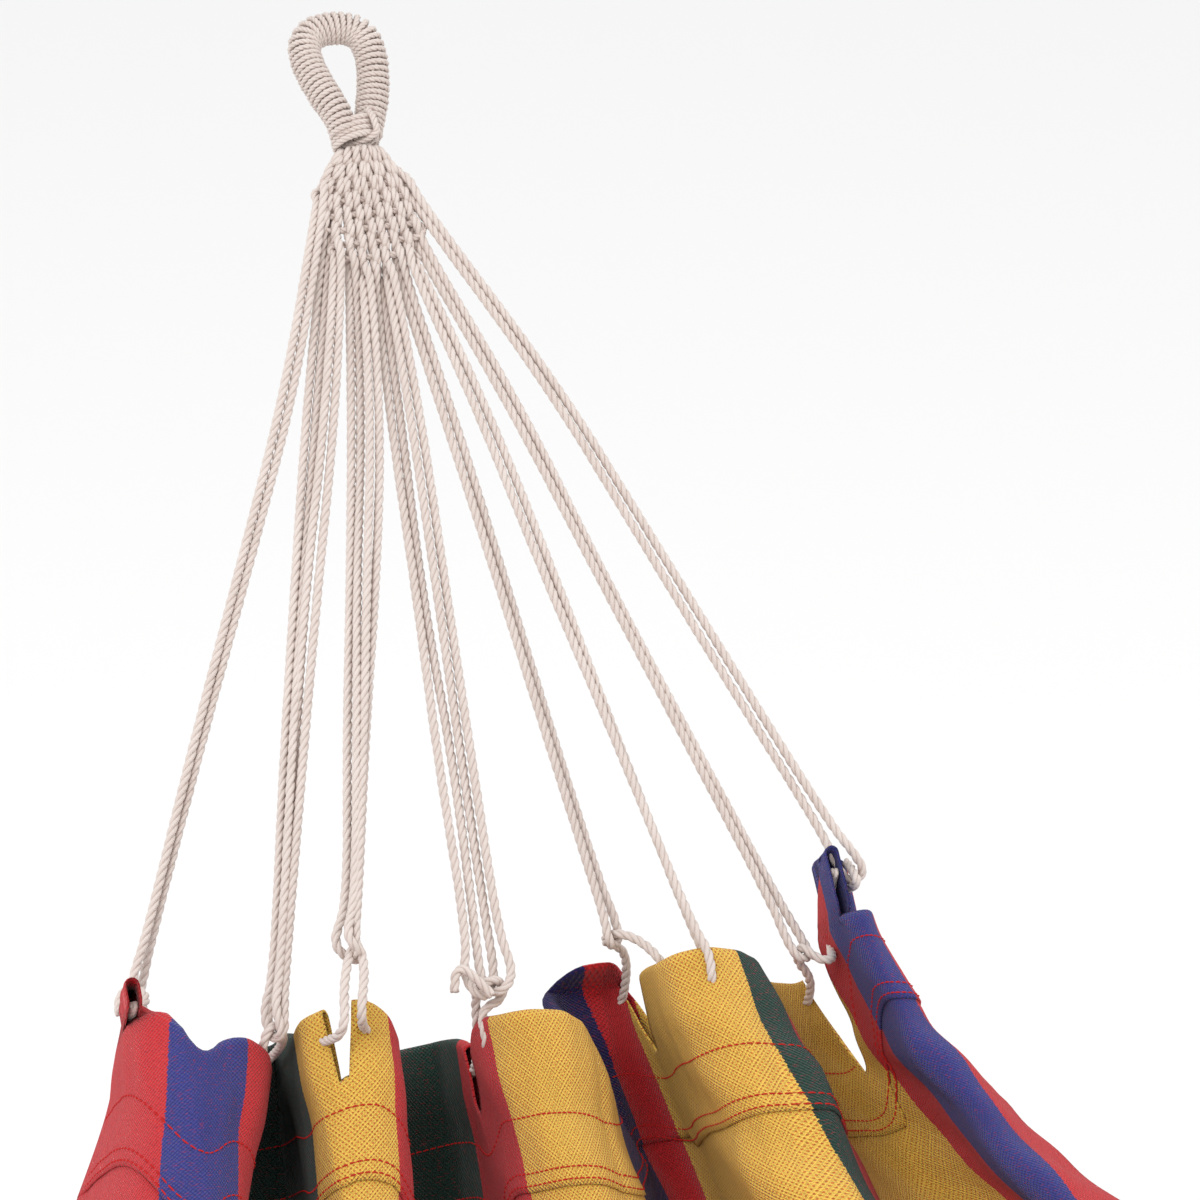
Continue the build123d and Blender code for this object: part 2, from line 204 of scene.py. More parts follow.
# The floor, in metres, and the camera, in degrees, millimetres and metres.
FLOOR_LEVEL = -1.2
CAMERA_AZIMUTH = 73.6
CAMERA_ELEVATION = 25.0
CAMERA_LENS = 115.0
CAMERA_DISTANCE = 2.0
CAMERA_TARGET = (0.2519, 0.0772, -0.2335)


# ---- geometry ----
def row(points, foot=False):
    """Places in an end's frame, in millimetres, as places in the row frame, in metres."""
    p = np.asarray(points, float)
    x = p[..., 2] * math.cos(PULL_SLOPE) + p[..., 1] * math.sin(PULL_SLOPE)
    z = -p[..., 2] * math.sin(PULL_SLOPE) + p[..., 1] * math.cos(PULL_SLOPE)
    if foot:
        x = SPAN - x
    return np.stack([x, p[..., 0], z], axis=-1) / 1000


def unit(vectors):
    return vectors / np.maximum(np.linalg.norm(vectors, axis=-1, keepdims=True), 1e-12)


def gather_spans():
    """The gathered cloth as a chain of arcs: length, first direction and last direction."""
    height = LEFT_EDGE[1]
    angle = math.pi / 2
    spans = []
    for width, top in FOLDS:
        spans.append((abs(top - height) - width / 2, angle, angle))
        spans.append((math.pi * width / 2, angle, -angle))
        height = top - width / 2 if top > height else top + width / 2
        angle = -angle
    spans.append((abs(height - RIGHT_EDGE), angle, angle))
    return spans


GATHER = gather_spans()
WIDTH = sum(span[0] for span in GATHER)


def raw_section(gathered, q):
    """Places and directions at distances q along the section before it is centred."""
    trough = TROUGH_ARC * (1 - gathered**3)
    x, y = LEFT_EDGE
    done = 0.0
    out = np.zeros((len(q), 3))
    for length, first, last in GATHER:
        a = gathered * first + trough * (done / WIDTH - 0.5)
        b = gathered * last + trough * ((done + length) / WIDTH - 0.5)
        bend = (b - a) / length
        if abs(bend) < 1e-7:
            bend = 1e-7
        here = (q >= done - 1e-6) & (q <= done + length + 1e-6)
        turn = a + bend * (q[here] - done)
        out[here, 0] = x + (np.sin(turn) - math.sin(a)) / bend
        out[here, 1] = y - (np.cos(turn) - math.cos(a)) / bend
        out[here, 2] = turn
        x += (math.sin(b) - math.sin(a)) / bend
        y -= (math.cos(b) - math.cos(a)) / bend
        done += length
    return out


EVEN_Q = np.linspace(0, WIDTH, 1500)
GATHER_CENTRE = raw_section(1.0, EVEN_Q)[:, :2].mean(axis=0)


def section(gathered, q):
    """The cloth's section about the line that the bed hangs in."""
    centre = raw_section(gathered, EVEN_Q)[:, :2].mean(axis=0)
    out = raw_section(gathered, q)
    out[:, :2] += gathered * GATHER_CENTRE - centre
    return out


def gathered_at(near):
    """How gathered the cloth is at a distance past the hem line: 1 at the top of the hem."""
    share = min(max((near + HEM_RISE) / (PLEATS_END * HALF_ARC + HEM_RISE), 0.0), 1.0)
    eased = share * share * (3 - 2 * share)
    opened = eased + EARLY_OPENING * (math.sin(share * math.pi / 2) - eased)
    return 1 - (1 - FAINTEST_FOLDS) * opened


TOP_Q = np.array([p[0] for p in HEM_TOPS], float)
TOP_DOWN = np.array([p[1] for p in HEM_TOPS], float)


TOP_ROUNDING = (-9, -4, 0, 4, 9)
DRIFT_FROM = np.array([p[0] for p in DRIFT], float)
DRIFT_BY = np.array([p[1] for p in DRIFT], float)


def hem_top(q):
    """The level of the hem's top edge, rounded over between the places that are given."""
    near = [np.interp(np.clip(q + shift, 0, WIDTH), TOP_Q, TOP_DOWN) for shift in TOP_ROUNDING]
    return np.mean(near, axis=0)


# ---- meshes ----
def mesh_object(name, vertices, faces):
    """A smooth-shaded mesh object from places in metres and arrays of faces."""
    mesh = bpy.data.meshes.new(name)
    corners = np.concatenate([np.asarray(f, np.int32).ravel() for f in faces])
    counts = np.concatenate([np.full(len(f), np.shape(f)[1], np.int32) for f in faces])
    mesh.vertices.add(len(vertices))
    mesh.vertices.foreach_set("co", np.asarray(vertices, np.float32).ravel())
    mesh.loops.add(len(corners))
    mesh.loops.foreach_set("vertex_index", corners)
    mesh.polygons.add(len(counts))
    starts = np.concatenate([[0], np.cumsum(counts)[:-1]]).astype(np.int32)
    mesh.polygons.foreach_set("loop_start", starts)
    mesh.polygons.foreach_set("use_smooth", np.full(len(counts), True))
    mesh.update(calc_edges=True)
    mesh.validate()
    obj = bpy.data.objects.new(name, mesh)
    bpy.context.scene.collection.objects.link(obj)
    return obj


def smooth_route(points, spacing):
    """Evenly spaced places on a smooth NURBS curve with the points as its control points."""
    curve = bpy.data.curves.new("route", "CURVE")
    curve.dimensions = "3D"
    spline = curve.splines.new("NURBS")
    spline.points.add(len(points) - 1)
    for knot, place in zip(spline.points, points):
        knot.co = (*place, 1.0)
    spline.order_u = 3
    spline.use_endpoint_u = True
    spline.resolution_u = 24
    holder = bpy.data.objects.new("route", curve)
    mesh = bpy.data.meshes.new_from_object(holder)
    line = np.array([v.co for v in mesh.vertices], float)
    bpy.data.objects.remove(holder)
    bpy.data.curves.remove(curve)
    bpy.data.meshes.remove(mesh)
    steps = np.linalg.norm(np.diff(line, axis=0), axis=1)
    line = line[np.concatenate([[True], steps > 1e-9])]
    run = np.concatenate([[0], np.cumsum(np.linalg.norm(np.diff(line, axis=0), axis=1))])
    count = max(4, int(round(run[-1] / spacing)) + 1)
    even = np.linspace(0, run[-1], count)
    return np.stack([np.interp(even, run, line[:, i]) for i in range(3)], axis=1)


def carried_frames(line):
    """Tangents and a pair of side directions carried along a line without twist."""
    tangents = unit(np.gradient(line, axis=0))
    side = np.cross(tangents[0], [0.0, 0.0, 1.0])
    if np.linalg.norm(side) < 0.1:
        side = np.cross(tangents[0], [0.0, 1.0, 0.0])
    sides = np.zeros_like(line)
    for i, tangent in enumerate(tangents):
        side = side - tangent * side.dot(tangent)
        side = side / np.linalg.norm(side)
        sides[i] = side
    return tangents, sides, np.cross(tangents, sides)


def tube_grid(line, radius, sides):
    """Vertices, side faces and end caps of a round tube along a line."""
    tangents, first, second = carried_frames(line)
    radius = np.broadcast_to(radius, len(line))[:, None, None]
    turn = np.linspace(0, 2 * math.pi, sides, endpoint=False)
    ring = np.cos(turn)[None, :, None] * first[:, None]
    ring = ring + np.sin(turn)[None, :, None] * second[:, None]
    vertices = (line[:, None] + ring * radius).reshape(-1, 3)
    a = np.arange(len(line) - 1)[:, None] * sides + np.arange(sides)[None]
    b = np.arange(len(line) - 1)[:, None] * sides + (np.arange(sides)[None] + 1) % sides
    quads = np.stack([a, b, b + sides, a + sides], axis=-1).reshape(-1, 4)
    last = (len(line) - 1) * sides
    caps = np.array([np.arange(sides)[::-1], last + np.arange(sides)])
    return vertices, quads, caps


def rope_parts(line, radius, lay, sides=7, phase=0.0):
    """A laid rope: three strands wound round a line, as one set of vertices and faces."""
    _, first, second = carried_frames(line)
    run = np.concatenate([[0], np.cumsum(np.linalg.norm(np.diff(line, axis=0), axis=1))])
    radius = np.broadcast_to(radius, len(line))
    vertices, quads, caps = [], [], []
    count = 0
    for strand in range(3):
        turn = phase + 2 * math.pi * (strand / 3 + run / lay)
        thick = radius * STRAND_SHARE
        reach = (radius - thick)[:, None]
        wound = line + reach * (np.cos(turn)[:, None] * first + np.sin(turn)[:, None] * second)
        v, f, c = tube_grid(wound, thick, sides)
        vertices.append(v)
        quads.append(f + count)
        caps.append(c + count)
        count += len(v)
    return np.concatenate(vertices), np.concatenate(quads), np.concatenate(caps)


def joined(name, parts):
    """One mesh object from several sets of vertices, side faces and caps."""
    count = 0
    vertices, quads, caps = [], [], []
    for v, f, c in parts:
        vertices.append(v)
        quads.append(f + count)
        caps.append(c + count)
        count += len(v)
    faces = [np.concatenate(quads), np.concatenate(caps)]
    return mesh_object(name, np.concatenate(vertices), faces)


def paint(obj, material):
    obj.data.materials.append(material)
    return obj


# ---- materials ----
class Nodes:
    """Short calls for the nodes of one material."""

    def __init__(self, name):
        self.material = bpy.data.materials.new(name)
        self.material.use_nodes = True
        self.tree = self.material.node_tree
        self.shader = self.tree.nodes["Principled BSDF"]

    def add(self, kind, values=(), **settings):
        node = self.tree.nodes.new(kind)
        for key, value in settings.items():
            setattr(node, key, value)
        for socket, value in values:
            if isinstance(value, bpy.types.NodeSocket):
                self.tree.links.new(value, node.inputs[socket])
            else:
                node.inputs[socket].default_value = value
        return node

    def maths(self, operation, *values):
        return self.add("ShaderNodeMath", list(enumerate(values)), operation=operation).outputs[0]

    def mix(self, share, first, second):
        values = [(0, share), (6, first), (7, second)]
        return self.add("ShaderNodeMix", values, data_type="RGBA").outputs[2]

    def noise(self, place, scale, detail):
        values = [("Vector", place), ("Scale", scale), ("Detail", detail)]
        return self.add("ShaderNodeTexNoise", values).outputs[0]

    def shifted(self, colour, **changes):
        values = [*changes.items(), ("Color", colour)]
        return self.add("ShaderNodeHueSaturation", values).outputs[0]

    def bump(self, height, strength, distance):
        values = [("Height", height), ("Strength", strength), ("Distance", distance)]
        bump = self.add("ShaderNodeBump", values)
        self.tree.links.new(bump.outputs[0], self.shader.inputs["Normal"])


def rope_material():
    made = Nodes("cotton rope")
    place = made.add("ShaderNodeTexCoord").outputs["Object"]
    broad = made.noise(place, 60.0, 2.0)
    fine = made.noise(place, 1900.0, 3.0)
    light = (ROPE[0] * 1.06, ROPE[1] * 1.06, ROPE[2] * 1.05, 1)
    dark = (ROPE[0] * 0.88, ROPE[1] * 0.84, ROPE[2] * 0.81, 1)
    colour = made.mix(broad, dark, light)
    # Painted shade: the rope's colour is darkened where the AO node finds it hemmed in, in the crevices
    # between its strands and turns.
    settings = [("Color", colour), ("Distance", 0.003)]
    shade = made.add("ShaderNodeAmbientOcclusion", settings, samples=4)
    rope_shade_colour = (ROPE[0] * 0.60, ROPE[1] * 0.50, ROPE[2] * 0.45, 1)
    colour = made.mix(shade.outputs["AO"], rope_shade_colour, colour)
    made.tree.links.new(colour, made.shader.inputs["Base Color"])
    made.shader.inputs["Roughness"].default_value = 0.95
    made.shader.inputs["Specular IOR Level"].default_value = 0.15
    made.shader.inputs["Sheen Weight"].default_value = 0.35
    made.bump(fine, 0.35, 0.0004)
    return made.material


def cloth_material():
    """Stripes across the cloth, a diagonal lattice of red weft and flecks in the dark stripes."""
    made = Nodes("hammock_cloth")
    place = made.add("ShaderNodeAttribute", attribute_name="cloth").outputs["Vector"]
    split = made.add("ShaderNodeSeparateXYZ", [(0, place)])
    across, along = split.outputs[0], split.outputs[1]

    wander = made.noise(place, 0.9, 1.0)
    edge = made.maths("MULTIPLY_ADD", wander, STRIPE_WANDER, across)
    share = made.maths("DIVIDE", edge, WIDTH + STRIPE_WANDER)
    stripes = made.add("ShaderNodeValToRGB", [(0, share)])
    ramp = stripes.color_ramp
    ramp.interpolation = "CONSTANT"
    starts = [0.0] + [end / WIDTH for end, _ in STRIPES[:-1]]
    while len(ramp.elements) < len(STRIPES):
        ramp.elements.new(0.5)
    for element, start in zip(ramp.elements, starts):
        element.position = start
    for element, (_, dye) in zip(ramp.elements, STRIPES):
        element.color = (*DYES[dye], 1)

    # How yellow a place is decides whether the red weft shows as dots.
    parts = made.add("ShaderNodeSeparateColor", [(0, stripes.outputs[0])])
    yellow = made.maths("GREATER_THAN", parts.outputs[1], 0.3)
    u = made.maths("MULTIPLY", across, 2 * math.pi / DOT_PITCH[0])
    v = made.maths("MULTIPLY", along, 2 * math.pi / DOT_PITCH[1])
    lattice = made.maths("MULTIPLY", made.maths("COSINE", u), made.maths("COSINE", v))
    patch = made.noise(place, 0.02, 1.0)
    limit = made.maths("MULTIPLY_ADD", patch, -0.5, 0.72)
    dots = made.maths("MULTIPLY", made.maths("GREATER_THAN", lattice, limit), yellow)
    colour = made.mix(made.maths("MULTIPLY", dots, 0.8), stripes.outputs[0], (0.52, 0.075, 0.02, 1))

    # Short red flecks of weft in every stripe that isn't yellow.
    stretched = [("Vector", place), ("Scale", (0.30, 1.5, 1.0))]
    fleck_place = made.add("ShaderNodeMapping", stretched).outputs[0]
    fleck = made.maths("GREATER_THAN", made.noise(fleck_place, 1.1, 2.0), 0.62)
    flecks = made.maths("MAXIMUM", made.maths("SUBTRACT", fleck, yellow), 0.0)
    colour = made.mix(made.maths("MULTIPLY", flecks, 0.5), colour, (0.36, 0.022, 0.045, 1))

    # The yarns: a plain weave with uneven threads.
    thread = made.noise(place, 0.7, 3.0)
    weave_u = made.maths("SINE", made.maths("MULTIPLY", across, 2 * math.pi / YARN_PITCH[0]))
    weave_v = made.maths("SINE", made.maths("MULTIPLY", along, 2 * math.pi / YARN_PITCH[1]))
    weave = made.maths("MULTIPLY", weave_u, weave_v)
    uneven = made.maths("MULTIPLY_ADD", thread, 0.6, 0.76)
    colour = made.shifted(colour, Value=made.maths("MULTIPLY_ADD", weave, 0.16, uneven))
    # Painted shade: deeper and darker between the folds, where the AO node finds the cloth hemmed in.
    folds = made.add("ShaderNodeAmbientOcclusion", [("Distance", 0.07)], samples=6).outputs["AO"]
    colour = made.mix(folds, made.shifted(colour, Value=0.58, Saturation=1.06), colour)
    made.tree.links.new(colour, made.shader.inputs["Base Color"])
    made.shader.inputs["Roughness"].default_value = 0.92
    made.shader.inputs["Specular IOR Level"].default_value = 0.12
    made.shader.inputs["Sheen Weight"].default_value = 0.15
    made.bump(made.maths("ADD", weave, made.maths("MULTIPLY", thread, 1.2)), 0.9, 0.0006)
    return made.material


def plain_material(name, colour, roughness=0.9):
    made = Nodes(name)
    made.shader.inputs["Base Color"].default_value = (*colour, 1)
    made.shader.inputs["Roughness"].default_value = roughness
    made.shader.inputs["Specular IOR Level"].default_value = 0.1
    return made.material


ROPE_LOOK = rope_material()
CLOTH_LOOK = cloth_material()
THREAD_LOOK = plain_material("red thread", (0.50, 0.022, 0.02))


# ---- the cloth ----
def notch_edges(notch, below):
    """Left and right edges of a notch, at a level from its top (0) to its bottom (1)."""
    middle, top_width, bottom_width, _ = notch
    half = (top_width + (bottom_width - top_width) * below) / 2
    return middle - half, middle + half


def column_layout():
    """Columns of the cloth mesh: even, with one on each edge of each notch."""
    marks = [0.0]
    for notch in NOTCHES:
        marks += list(notch_edges(notch, 0.0))
    marks.append(WIDTH)
    columns, edges = [0.0], []
    for start, finish in zip(marks, marks[1:]):
        count = max(3, int(math.ceil((finish - start) / 2.2)))
        columns += list(np.linspace(start, finish, count + 1)[1:])
        edges.append(len(columns) - 1)
    return np.array(columns), edges[:-1]


COLUMNS, NOTCH_COLUMNS = column_layout()
BASE_TOP = hem_top(COLUMNS)


def notch_depth(notch):
    return notch[3] - float(np.interp(notch[0], COLUMNS, BASE_TOP))


def bent_columns(below):
    """The columns at a depth below the top edge, drawn in along the sides of the notches."""
    moved = COLUMNS.copy()
    for notch in NOTCHES:
        left0, right0 = notch_edges(notch, 0.0)
        left, right = notch_edges(notch, min(max(below / notch_depth(notch), 0.0), 1.0))
        inside = (COLUMNS >= left0 - 1e-6) & (COLUMNS <= right0 + 1e-6)
        squeezed = left + (COLUMNS - left0) * (right - left) / (right0 - left0)
        before = np.interp(COLUMNS, [left0 - NOTCH_PULL, left0], [0, left - left0])
        after = np.interp(COLUMNS, [right0, right0 + NOTCH_PULL], [right - right0, 0])
        shift = np.where(COLUMNS < left0, before, after)
        moved = np.where(inside, squeezed, moved + shift)
    return moved


TABLE_Q = np.arange(0.0, WIDTH + 1.0, 1.0).clip(0, WIDTH)
TABLE_NEAR = np.linspace(-80.0, HALF_ARC, 176)
TABLE = np.stack([section(gathered_at(near), TABLE_Q) for near in TABLE_NEAR])


def section_at(q, near):
    """The section's places and directions at distances near from the hem line."""
    i = np.clip(q, 0, len(TABLE_Q) - 1.001)
    j = (np.clip(near, -79.9, HALF_ARC - 1e-3) + 80.0) / (TABLE_NEAR[1] - TABLE_NEAR[0])
    i0, j0 = i.astype(int), j.astype(int)
    fi, fj = (i - i0)[:, None], (j - j0)[:, None]
    low = TABLE[j0, i0] * (1 - fi) + TABLE[j0, i0 + 1] * fi
    high = TABLE[j0 + 1, i0] * (1 - fi) + TABLE[j0 + 1, i0 + 1] * fi
    return low * (1 - fj) + high * fj


def wrinkles(q, near, side):
    """How far the cloth stands off its smooth shape, in mm, along its normal."""
    past = np.maximum(near, 0)
    fan = 1.0 + past / 500.0
    hold = np.clip((near + 40) / 110, 0, 1)
    soft = 2.4 * np.sin(q / (17.0 * fan) + 1.3 * side) * np.sin(q / 61.0 + 0.7 * side)
    soft += 1.5 * np.sin(q / (8.3 * fan) + past / 65.0 + 2.1 * side) * np.sin(q / 43.0 + 2.0)
    slow = 3.0 * np.sin(q / 95.0 + near / 210.0) * np.clip(near / 300.0, 0, 1)
    fine = 0.4 * np.sin(q / 3.1 + near / 21.0) * np.sin(q / 29.0 + near / 33.0)
    return soft * hold * np.exp(-past / 420.0) + slow + fine * np.exp(-past / 200.0)


def cloth_places(q, near, offset, foot=False):
    """Row-frame places, in metres, on the cloth, near being the distance past the hem line."""
    q, near = np.broadcast_arrays(np.asarray(q, float), np.asarray(near, float))
    found = section_at(q, near)
    reach = -np.clip(HALF_ARC - near, 0, HALF_ARC)
    x = CATENARY * np.arcsinh(reach / CATENARY)
    slope = np.arctan(reach / CATENARY)
    z = BED_LOW + CATENARY * (np.cosh(x / CATENARY) - 1)
    extra = np.minimum(near, 0)
    shut = np.clip(np.minimum(q, WIDTH - q) / 9.0, 0.12, 1.0)
    stand = offset * shut + wrinkles(q, near, -1 if foot else 1)
    across = found[:, 0] - np.sin(found[:, 2]) * stand
    height = found[:, 1] + np.cos(found[:, 2]) * stand
    drift = np.interp(found[:, 0], DRIFT_FROM, DRIFT_BY)
    across = across + drift * np.exp(-np.maximum(near, 0) / DRIFT_RUN)
    px = SPAN / 2 + x + np.cos(slope) * extra - np.sin(slope) * height
    pz = z + np.sin(slope) * extra + np.cos(slope) * height
    if foot:
        px = SPAN - px
    return np.stack([px, across, pz], axis=1) / 1000


def hem_gap(below):
    """Half the space between the hem's two layers, at a depth below its top edge."""
    eased = min(max((below - TUNNEL_DEPTH) / (SEAM_ROWS[0] - TUNNEL_DEPTH), 0.0), 1.0)
    eased = eased * eased * (3 - 2 * eased)
    return TUNNEL_GAP / 2 * (1 - eased) + (CLOTH_THICKNESS / 2 + 0.1) * eased


def hem_profile():
    """The hem's centre line: down the turned layer's depth, offset from the middle."""
    radius = TUNNEL_GAP / 2
    line = [(below, hem_gap(below)) for below in np.arange(HEM_DEPTH, radius + 1, -HEM_STEP)]
    for angle in np.radians(np.linspace(90, -90, 7)):
        line.append((radius - radius * math.cos(angle), radius * math.sin(angle)))
    below = np.arange(radius + HEM_STEP, HEM_DEPTH + 40, HEM_STEP)
    settle = np.clip((below - HEM_DEPTH) / 30.0, 0, 1)
    line += [(b, -hem_gap(b) * (1 - s)) for b, s in zip(below, settle)]
    return line


def build_cloth():
    """The whole cloth as one thin sheet: hem, bed and hem, with the hems turned in."""
    profile = hem_profile()
    tops = BASE_TOP - SEAT_TO_CLOTH
    rows, cloth, depth = [], [], []
    for below, offset in profile:
        q = bent_columns(below)
        rows.append(cloth_places(q, tops + below, offset))
        cloth.append(np.stack([q, tops + below, np.zeros_like(q)], axis=1))
        depth.append(below)
    # The rows of the bed are close together near the hem.
    start = tops + profile[-1][0]
    q = bent_columns(profile[-1][0])
    spacing = np.interp(np.linspace(0, 1, BED_ROWS), [0, 0.5, 1], [4, 13, 13])
    shares = np.concatenate([[0], np.cumsum(spacing)])
    shares = shares / shares[-1]
    for share in shares[1:]:
        near = start + (HALF_ARC - start) * share
        rows.append(cloth_places(q, near, 0.0))
        cloth.append(np.stack([q, near, np.zeros_like(q)], axis=1))
        depth.append(1e3)
    for share in shares[-2:0:-1]:
        near = start + (HALF_ARC - start) * share
        rows.append(cloth_places(q, near, 0.0, foot=True))
        cloth.append(np.stack([q, 2 * HALF_ARC - near, np.zeros_like(q)], axis=1))
        depth.append(1e3)
    for below, offset in profile[::-1]:
        q = bent_columns(below)
        rows.append(cloth_places(q, tops + below, offset, foot=True))
        cloth.append(np.stack([q, 2 * HALF_ARC - tops - below, np.zeros_like(q)], axis=1))
        depth.append(below)

    vertices = np.concatenate(rows)
    width = len(COLUMNS)
    keep = np.ones((len(rows) - 1, width - 1), bool)
    lower = np.maximum(depth[:-1], depth[1:])
    for notch, left, right in zip(NOTCHES, NOTCH_COLUMNS[::2], NOTCH_COLUMNS[1::2]):
        cut = lower <= notch_depth(notch)
        keep[cut, left:right] = False
    a = np.arange(len(rows) - 1)[:, None] * width + np.arange(width - 1)[None]
    faces = np.stack([a, a + 1, a + width + 1, a + width], axis=-1)[keep]
    used = np.zeros(len(vertices), bool)
    used[faces.ravel()] = True
    renumber = np.cumsum(used) - 1
    obj = mesh_object("hammock_cloth", vertices[used], [renumber[faces]])
    places = obj.data.attributes.new("cloth", "FLOAT_VECTOR", "POINT")
    places.data.foreach_set("vector", np.concatenate(cloth)[used].astype(np.float32).ravel())
    thick = obj.modifiers.new("thickness", "SOLIDIFY")
    thick.thickness = CLOTH_THICKNESS / 1000
    thick.offset = 0
    apply_modifiers(obj)
    return paint(obj, CLOTH_LOOK)


def apply_modifiers(obj):
    """Makes the modified shape the mesh itself."""
    graph = bpy.context.evaluated_depsgraph_get()
    shaped = bpy.data.meshes.new_from_object(obj.evaluated_get(graph))
    obj.modifiers.clear()
    obj.data = shaped


cloth = build_cloth()
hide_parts("bed_cloth")
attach(cloth, "bed")


def build_stitches(end, foot):
    """Rows of red stitching through both layers of one hem."""
    parts = []
    for below in SEAM_ROWS:
        for face in (1, -1):
            q = np.arange(SEAM_MARGIN, WIDTH - SEAM_MARGIN, THREAD_STEP)
            gone = np.zeros_like(q, bool)
            for notch in NOTCHES:
                if notch_depth(notch) > below - 4:
                    left, right = notch_edges(notch, min(below / notch_depth(notch), 1.0))
                    gone |= (q > left - 3) & (q < right + 3)
            near = hem_top(q) - SEAT_TO_CLOTH + below
            rise = THREAD_RISE * np.cos(q * 2 * math.pi / STITCH)
            stand = hem_gap(below) + CLOTH_THICKNESS / 2 + rise - 0.05
            line = cloth_places(q, near, face * stand, foot)
            breaks = np.where(np.diff(gone.astype(int)) != 0)[0] + 1
            for run in np.split(np.arange(len(q)), breaks):
                if not gone[run[0]] and len(run) > 4:
                    parts.append(tube_grid(line[run], THREAD_RADIUS / 1000, 5))
    stitches = paint(joined(f"{end}_stitching", parts), THREAD_LOOK)
    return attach(stitches, "bed")


# ---- the ropes ----
def hem_route_points(foot):
    """The hem cord's control points in the row frame, close together inside the hem."""
    points = []
    before = None
    for step in HEM_ROUTE:
        if len(step) == 3:
            points.append(row(step, foot))
            before = None
            continue
        start = before or step
        count = max(1, int(abs(step[0] - start[0]) / HEM_POINT_STEP))
        for share in np.arange(1, count + 1) / count:
            q = np.array([start[0] + (step[0] - start[0]) * share])
            below = start[1] + (step[1] - start[1]) * share
            points.append(cloth_places(q, hem_top(q) - SEAT_TO_CLOTH + below, 0.0, foot)[0])
        before = step
    return points


def end_frame(places, foot):
    """Row-frame places as places in an end's frame, in millimetres."""
    x = (SPAN - places[:, 0] * 1000) if foot else places[:, 0] * 1000
    z = places[:, 2] * 1000
    inside = x * math.sin(PULL_SLOPE) + z * math.cos(PULL_SLOPE)
    down = x * math.cos(PULL_SLOPE) - z * math.sin(PULL_SLOPE)
    return np.stack([places[:, 1] * 1000, inside, down], axis=1)


def leg_points(number, cord, sign, hem_line):
    """Control points of one leg of a doubled cord, from the throat to its loop."""
    (top_x, top_z), (knee_x, knee_z), loop = cord
    column = (number - 6) * COLUMN_PITCH
    neck_inside = 2.5 * (1 + 0.9 * math.cos(column / 9))
    points = [(column * NECK_SHARE + 0.8 * sign, sign * neck_inside, THROAT_END)]
    rows = int((top_z - MAT_TOP) / ROW_PITCH)
    for i in range(rows + 1):
        z = MAT_TOP + i * ROW_PITCH
        spread = NECK_SHARE + (1 - NECK_SHARE) * min((z - THROAT_END) / 24.0, 1.0)
        out = min(max((z - 90.0) / max(top_z - 90.0, 1.0), 0.0), 1.0)
        x = column * spread * (1 - out) + top_x * out
        front = 1 if (i + number) % 2 else -1
        points.append((x + 0.7 * sign, sign * front * WEAVE_REACH, z))
    layer = PAIR_HALF if number % 2 else -PAIR_HALF
    points.append((top_x + 2.0 * sign, layer, top_z + 6.0))
    knee = np.array([knee_x + sign * PAIR_HALF, layer, knee_z], float)
    nearest = int(np.argmin(np.linalg.norm(hem_line - np.array(loop, float), axis=1)))
    nearest = min(max(nearest, 2), len(hem_line) - 3)
    centre = hem_line[nearest]
    along = unit(hem_line[nearest + 2] - hem_line[nearest - 2])
    up = knee - centre
    up = unit(up - along * up.dot(along))
    side = np.cross(along, up)
    if side[0] < 0:
        side = -side
    points.append(tuple(knee))
    loop_reach = 2 * CORD_RADIUS + 0.4
    start = centre + side * sign * PAIR_HALF + unit(knee - centre) * 26.0
    for share in (0.33, 0.66):
        drift = rng.normal(0, LEG_DRIFT, 3) * np.array([1.0, 1.0, 0.0])
        points.append(tuple(knee + (start - knee) * share + drift))
    points.append(tuple(start))
    points.append(tuple(centre + side * sign * loop_reach + up * 9.0))
    points.append(tuple(centre + side * sign * loop_reach - up * 5.6))
    return points


def laid_rope(name, body, line, radius, lay, **settings):
    """A laid rope along a line, riding on a body."""
    rope = paint(joined(name, [rope_parts(line, radius / 1000, lay / 1000, **settings)]), ROPE_LOOK)
    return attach(rope, body)


def build_cord(name, line, phase):
    """A laid cord along a line, riding on the bed. A limp, taut cord that goes back
    into the object at its far end.
    """
    rope = laid_rope(name, "bed", line, CORD_RADIUS, LAY, phase=phase)
    return rope


def build_clew(end, foot):
    """The ropes of one end: hem cord, doubled cords, mat, throat and eye."""
    hem_line = smooth_route(hem_route_points(foot), HEM_CORD_STEP / 1000)
    flat_line = end_frame(hem_line, foot)
    tail_line = smooth_route(row(TAIL_ROUTE, foot), 0.001)
    tail = laid_rope(f"{end}_hem_rope_tail", "bed", tail_line, CORD_RADIUS, LAY)
    hem = build_cord(f"{end}_hem_rope", hem_line, 0.0)
    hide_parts(f"{end}_hem_cord")

    for number, cord in enumerate(CORDS, start=1):
        legs = [leg_points(number, cord, sign, flat_line) for sign in (-1, 1)]
        line = smooth_route(row(legs[0] + legs[1][::-1], foot), CORD_STEP / 1000)
        rope = build_cord(f"{end}_rope_{number}", line, rng.uniform(0, 6))
        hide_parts(f"{end}_cord_{number}")

    weft = []
    rows = int((MAT_LEVELS[-1] - MAT_TOP) / ROW_PITCH)
    for i in range(rows):
        z = MAT_TOP + i * ROW_PITCH
        half = np.interp(z, MAT_LEVELS, MAT_HALF_WIDTHS)
        side = 1 if i % 2 else -1
        weft += [(side * half * share, 0, z) for share in (-1, -0.4, 0.4, 1)]
        weft.append((side * (half + 2.0), 0, z + ROW_PITCH / 2))
    weft_line = smooth_route(row(weft, foot), CORD_STEP / 1000)
    mat = laid_rope(f"{end}_mat_weft", "bed", weft_line, WEFT_RADIUS, WEFT_LAY)
    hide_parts(f"{end}_clew_mat")

    build_eye(end, foot)


